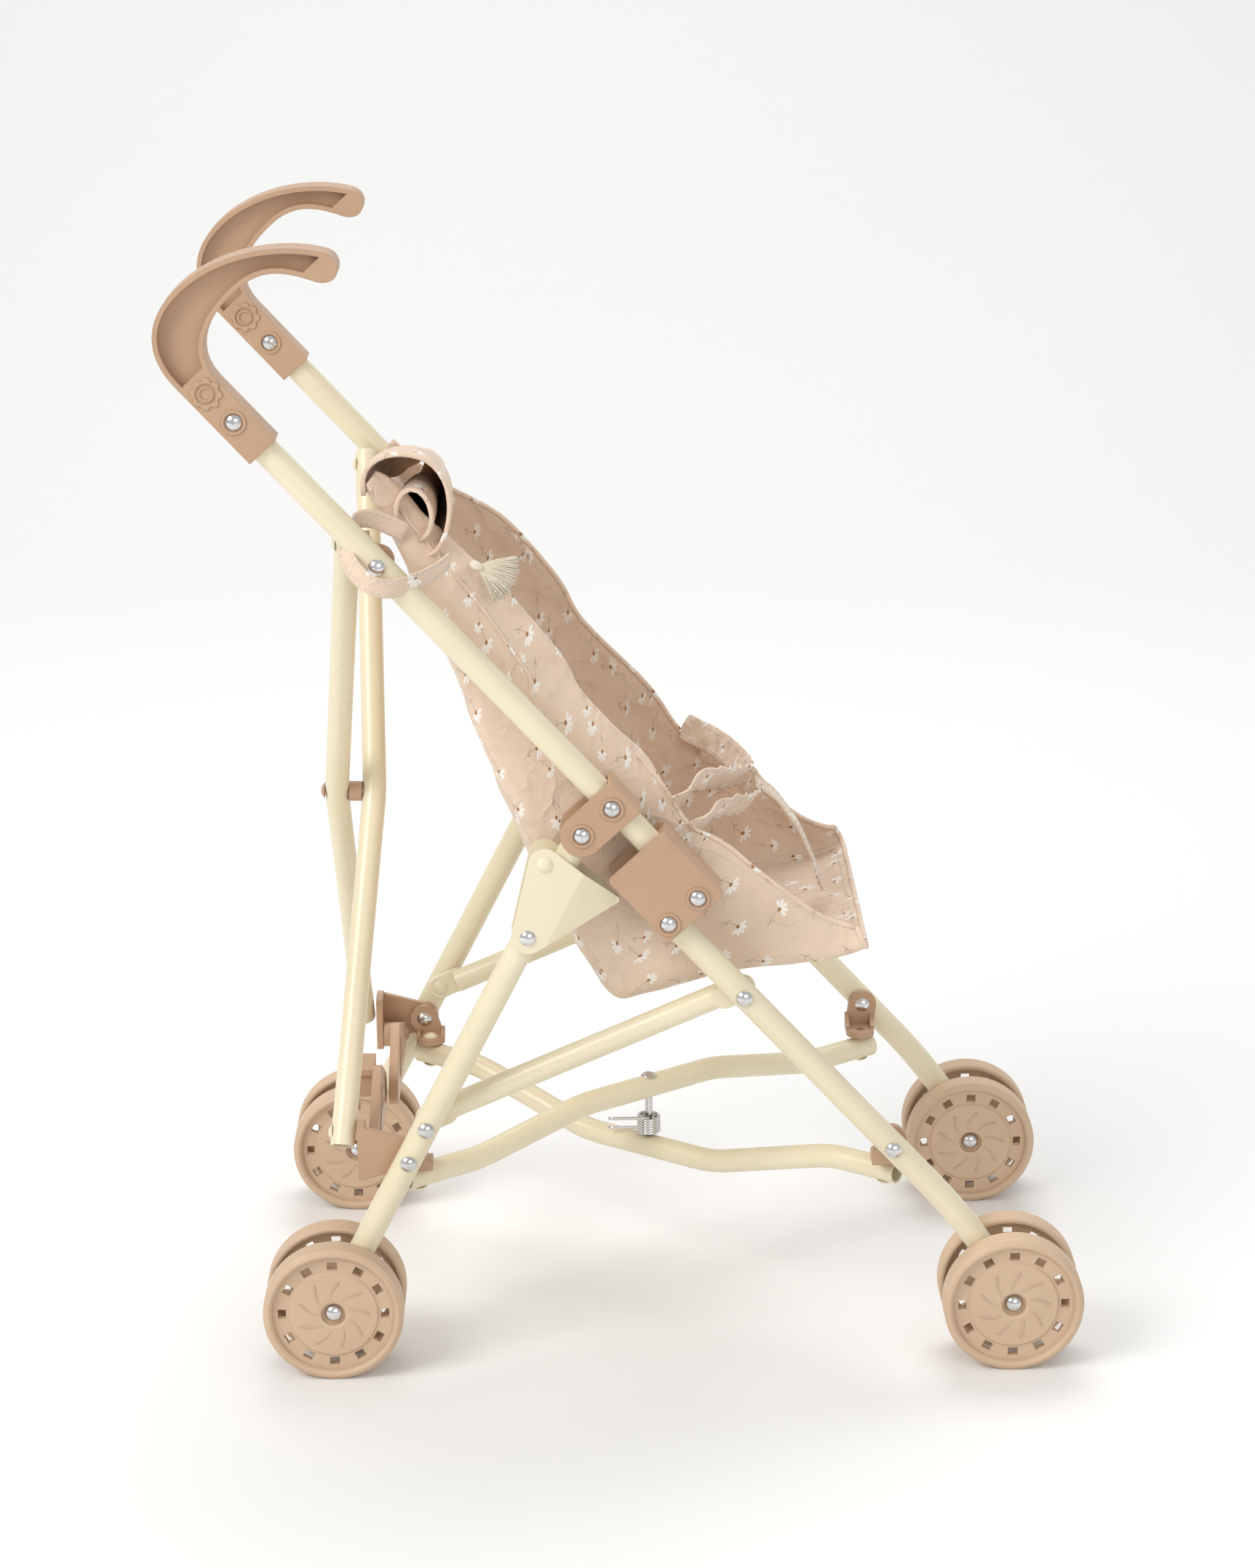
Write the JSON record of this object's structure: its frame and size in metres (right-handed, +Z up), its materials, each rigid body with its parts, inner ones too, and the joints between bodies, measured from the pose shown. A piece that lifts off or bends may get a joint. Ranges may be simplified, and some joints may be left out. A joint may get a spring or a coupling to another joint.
{
  "type": "doll stroller",
  "caption": "Folding doll stroller with hook handles, paired wheels, a fabric sling seat with side panels and straps, crossed tube frames and a rear folding lock.",
  "frame": {"origin": "centre of the bounding box on the floor the wheels stand on", "axes": "+X is the way the stroller faces, +Y is the doll's left, +Z is up"},
  "size_m": [0.4362, 0.249, 0.556],
  "materials": {
    "tube_paint": "satin cream paint",
    "tan_plastic": "satin moulded plastic",
    "wheel_plastic": "matte moulded plastic",
    "bright_metal": "polished plating",
    "printed_fabric": "woven cotton with a small flower print",
    "fringe": "cotton yarn"
  },
  "bodies": {
    "push_right": {"push_tube_right": "tube_paint", "handle_right": "tan_plastic", "leg_bracket_right": "tan_plastic", "knee_block_right": "tan_plastic", "push_rivets_right": "bright_metal", "seat_fabric": "printed_fabric", "waist_strap": "printed_fabric", "crotch_strap": "printed_fabric", "tie_strap": "printed_fabric", "tassel": "fringe"},
    "push_left": {"push_tube_left": "tube_paint", "handle_left": "tan_plastic", "leg_bracket_left": "tan_plastic", "knee_block_left": "tan_plastic", "push_rivets_left": "bright_metal"},
    "front_leg_right": {"front_leg_right": "tube_paint", "leg_hinge_right": "bright_metal", "front_leg_rivets_right": "bright_metal", "front_axle_right": "bright_metal"},
    "rear_leg_right": {"rear_leg_right": "tube_paint", "rear_leg_rivets_right": "bright_metal", "rear_axle_right": "bright_metal"},
    "strut_right": {"side_strut_right": "tube_paint"},
    "latch_right": {"safety_latch_right": "tube_paint"},
    "front_knuckle_right": {"front_knuckle_right": "tan_plastic"},
    "rear_knuckle_right": {"rear_knuckle_right": "tan_plastic"},
    "lock_bracket_right": {"lock_bracket_right": "tan_plastic"},
    "top_knuckle_right": {"top_knuckle_right": "tan_plastic"},
    "rear_wheel_right_outer": {"rear_wheel_right_outer": "wheel_plastic"},
    "rear_wheel_right_inner": {"rear_wheel_right_inner": "wheel_plastic"},
    "front_wheel_right_outer": {"front_wheel_right_outer": "wheel_plastic"},
    "front_wheel_right_inner": {"front_wheel_right_inner": "wheel_plastic"},
    "front_leg_left": {"front_leg_left": "tube_paint", "leg_hinge_left": "bright_metal", "front_leg_rivets_left": "bright_metal", "front_axle_left": "bright_metal"},
    "rear_leg_left": {"rear_leg_left": "tube_paint", "rear_leg_rivets_left": "bright_metal", "rear_axle_left": "bright_metal"},
    "strut_left": {"side_strut_left": "tube_paint"},
    "latch_left": {"safety_latch_left": "tube_paint"},
    "front_knuckle_left": {"front_knuckle_left": "tan_plastic"},
    "rear_knuckle_left": {"rear_knuckle_left": "tan_plastic"},
    "lock_bracket_left": {"lock_bracket_left": "tan_plastic"},
    "top_knuckle_left": {"top_knuckle_left": "tan_plastic"},
    "rear_wheel_left_outer": {"rear_wheel_left_outer": "wheel_plastic"},
    "rear_wheel_left_inner": {"rear_wheel_left_inner": "wheel_plastic"},
    "front_wheel_left_outer": {"front_wheel_left_outer": "wheel_plastic"},
    "front_wheel_left_inner": {"front_wheel_left_inner": "wheel_plastic"},
    "bottom_upper": {"bottom_cross_tube_upper": "tube_paint", "cross_rivet": "bright_metal"},
    "bottom_lower": {"bottom_cross_tube_lower": "tube_paint", "cross_spring": "bright_metal"},
    "rear_x_rear": {"rear_cross_tube_rear": "tube_paint", "rear_cross_spacer": "tan_plastic"},
    "rear_x_front": {"rear_cross_tube_front": "tube_paint"},
    "lock_right": {"lock_bar_right": "tan_plastic", "lock_pedal": "tan_plastic"},
    "lock_left": {"lock_bar_left": "tan_plastic"}
  },
  "joints": [
    {"name": "side_close", "type": "slide", "parent": "push_right", "child": "push_left", "axis": [0, -1, 0], "range_m": [0, 0.0601]},
    {"name": "fold", "type": "hinge", "parent": "push_right", "child": "front_leg_right", "pos_m": [0.02922, -0.104, 0.2447], "axis": [0, -1, 0], "range_deg": [0, 50], "deforming": ["seat_fabric", "waist_strap", "crotch_strap"]},
    {"name": "rear_leg_right_turn", "type": "hinge", "parent": "push_right", "child": "rear_leg_right", "pos_m": [-0.02564, -0.104, 0.27586], "axis": [0, -1, 0], "range_deg": [0, 24.52]},
    {"name": "strut_right_turn", "type": "hinge", "parent": "front_leg_right", "child": "strut_right", "pos_m": [0.0516, -0.104, 0.19201], "axis": [0, -1, 0], "range_deg": [-26.85, 0]},
    {"name": "latch_right_lift", "type": "hinge", "parent": "rear_leg_right", "child": "latch_right", "pos_m": [-0.05208, -0.104, 0.22469], "axis": [0, -1, 0], "range_deg": [0, 12]},
    {"name": "front_knuckle_right_turn", "type": "hinge", "parent": "front_leg_right", "child": "front_knuckle_right", "pos_m": [0.12443, -0.104, 0.11226], "axis": [0, -1, 0], "range_deg": [-19.23, 0]},
    {"name": "rear_knuckle_right_turn", "type": "hinge", "parent": "rear_leg_right", "child": "rear_knuckle_right", "pos_m": [-0.11218, -0.104, 0.1084], "axis": [0, -1, 0], "range_deg": [0, 6.32]},
    {"name": "lock_bracket_right_turn", "type": "hinge", "parent": "rear_leg_right", "child": "lock_bracket_right", "pos_m": [-0.11218, -0.104, 0.1084], "axis": [0, -1, 0], "range_deg": [-10.94, 0]},
    {"name": "top_knuckle_right_turn", "type": "hinge", "parent": "push_right", "child": "top_knuckle_right", "pos_m": [-0.11912, -0.104, 0.40716], "axis": [0, -1, 0], "range_deg": [0, 13.69]},
    {"name": "rear_wheel_right_outer_roll", "type": "hinge", "parent": "rear_leg_right", "child": "rear_wheel_right_outer", "pos_m": [-0.15038, -0.104, 0.0345], "axis": [0, 1, 0], "continuous": true},
    {"name": "rear_wheel_right_inner_roll", "type": "hinge", "parent": "rear_leg_right", "child": "rear_wheel_right_inner", "pos_m": [-0.15038, -0.104, 0.0345], "axis": [0, 1, 0], "continuous": true},
    {"name": "front_wheel_right_outer_roll", "type": "hinge", "parent": "front_leg_right", "child": "front_wheel_right_outer", "pos_m": [0.18362, -0.104, 0.0345], "axis": [0, 1, 0], "continuous": true},
    {"name": "front_wheel_right_inner_roll", "type": "hinge", "parent": "front_leg_right", "child": "front_wheel_right_inner", "pos_m": [0.18362, -0.104, 0.0345], "axis": [0, 1, 0], "continuous": true},
    {"name": "knee_left", "type": "hinge", "parent": "push_left", "child": "front_leg_left", "pos_m": [0.02922, 0.104, 0.2447], "axis": [0, -1, 0], "range_deg": [0, 50.02]},
    {"name": "rear_leg_left_turn", "type": "hinge", "parent": "push_left", "child": "rear_leg_left", "pos_m": [-0.02564, 0.104, 0.27586], "axis": [0, -1, 0], "range_deg": [0, 24.52]},
    {"name": "strut_left_turn", "type": "hinge", "parent": "front_leg_left", "child": "strut_left", "pos_m": [0.0516, 0.104, 0.19201], "axis": [0, -1, 0], "range_deg": [-26.85, 0]},
    {"name": "latch_left_lift", "type": "hinge", "parent": "rear_leg_left", "child": "latch_left", "pos_m": [-0.05208, 0.104, 0.22469], "axis": [0, -1, 0], "range_deg": [0, 12]},
    {"name": "front_knuckle_left_turn", "type": "hinge", "parent": "front_leg_left", "child": "front_knuckle_left", "pos_m": [0.12443, 0.104, 0.11226], "axis": [0, -1, 0], "range_deg": [-19.23, 0]},
    {"name": "rear_knuckle_left_turn", "type": "hinge", "parent": "rear_leg_left", "child": "rear_knuckle_left", "pos_m": [-0.11218, 0.104, 0.1084], "axis": [0, -1, 0], "range_deg": [0, 6.32]},
    {"name": "lock_bracket_left_turn", "type": "hinge", "parent": "rear_leg_left", "child": "lock_bracket_left", "pos_m": [-0.11218, 0.104, 0.1084], "axis": [0, -1, 0], "range_deg": [-10.94, 0]},
    {"name": "top_knuckle_left_turn", "type": "hinge", "parent": "push_left", "child": "top_knuckle_left", "pos_m": [-0.11912, 0.104, 0.40716], "axis": [0, -1, 0], "range_deg": [0, 13.69]},
    {"name": "rear_wheel_left_outer_roll", "type": "hinge", "parent": "rear_leg_left", "child": "rear_wheel_left_outer", "pos_m": [-0.15038, 0.104, 0.0345], "axis": [0, 1, 0], "continuous": true},
    {"name": "rear_wheel_left_inner_roll", "type": "hinge", "parent": "rear_leg_left", "child": "rear_wheel_left_inner", "pos_m": [-0.15038, 0.104, 0.0345], "axis": [0, 1, 0], "continuous": true},
    {"name": "front_wheel_left_outer_roll", "type": "hinge", "parent": "front_leg_left", "child": "front_wheel_left_outer", "pos_m": [0.18362, 0.104, 0.0345], "axis": [0, 1, 0], "continuous": true},
    {"name": "front_wheel_left_inner_roll", "type": "hinge", "parent": "front_leg_left", "child": "front_wheel_left_inner", "pos_m": [0.18362, 0.104, 0.0345], "axis": [0, 1, 0], "continuous": true},
    {"name": "bottom_upper_turn", "type": "hinge", "parent": "rear_knuckle_right", "child": "bottom_upper", "pos_m": [-0.10878, -0.084, 0.0915], "axis": [0, 0, 1], "range_deg": [-14, 0]},
    {"name": "bottom_lower_turn", "type": "hinge", "parent": "rear_knuckle_left", "child": "bottom_lower", "pos_m": [-0.10878, 0.084, 0.0915], "axis": [0, 0, 1], "range_deg": [0, 14]},
    {"name": "rear_x_rear_turn", "type": "hinge", "parent": "top_knuckle_right", "child": "rear_x_rear", "pos_m": [-0.13392, -0.088, 0.41396], "axis": [0.9993, 0, -0.0365], "range_deg": [-10.94, 0]},
    {"name": "rear_x_front_turn", "type": "hinge", "parent": "top_knuckle_left", "child": "rear_x_front", "pos_m": [-0.13392, 0.088, 0.41396], "axis": [0.9993, 0, -0.0365], "range_deg": [0, 10.94]},
    {"name": "lock_right_lift", "type": "hinge", "parent": "lock_bracket_right", "child": "lock_right", "pos_m": [-0.13408, -0.086, 0.1017], "axis": [1, 0, 0], "range_deg": [0, 40.02]},
    {"name": "lock_left_lift", "type": "hinge", "parent": "lock_bracket_left", "child": "lock_left", "pos_m": [-0.13408, 0.086, 0.1017], "axis": [1, 0, 0], "range_deg": [-40.02, 0]}
  ],
  "couplings": [
    {"joint": "side_close", "follows": "fold", "m_per_rad": 0.068755},
    {"joint": "rear_leg_right_turn", "follows": "fold", "ratio": 0.49},
    {"joint": "strut_right_turn", "follows": "fold", "ratio": -0.53667},
    {"joint": "front_knuckle_right_turn", "follows": "fold", "ratio": -0.38417},
    {"joint": "rear_knuckle_right_turn", "follows": "fold", "ratio": 0.12592},
    {"joint": "lock_bracket_right_turn", "follows": "fold", "ratio": -0.21833},
    {"joint": "top_knuckle_right_turn", "follows": "fold", "ratio": 0.27333},
    {"joint": "knee_left", "follows": "fold", "ratio": 1},
    {"joint": "rear_leg_left_turn", "follows": "fold", "ratio": 0.49},
    {"joint": "strut_left_turn", "follows": "fold", "ratio": -0.53667},
    {"joint": "front_knuckle_left_turn", "follows": "fold", "ratio": -0.38417},
    {"joint": "rear_knuckle_left_turn", "follows": "fold", "ratio": 0.12592},
    {"joint": "lock_bracket_left_turn", "follows": "fold", "ratio": -0.21833},
    {"joint": "top_knuckle_left_turn", "follows": "fold", "ratio": 0.27333},
    {"joint": "bottom_upper_turn", "follows": "fold", "ratio": -0.27967},
    {"joint": "bottom_lower_turn", "follows": "fold", "ratio": 0.27967},
    {"joint": "rear_x_rear_turn", "follows": "fold", "ratio": -0.21833},
    {"joint": "rear_x_front_turn", "follows": "fold", "ratio": 0.21833},
    {"joint": "lock_right_lift", "follows": "fold", "ratio": 0.8},
    {"joint": "lock_left_lift", "follows": "fold", "ratio": -0.8}
  ]
}
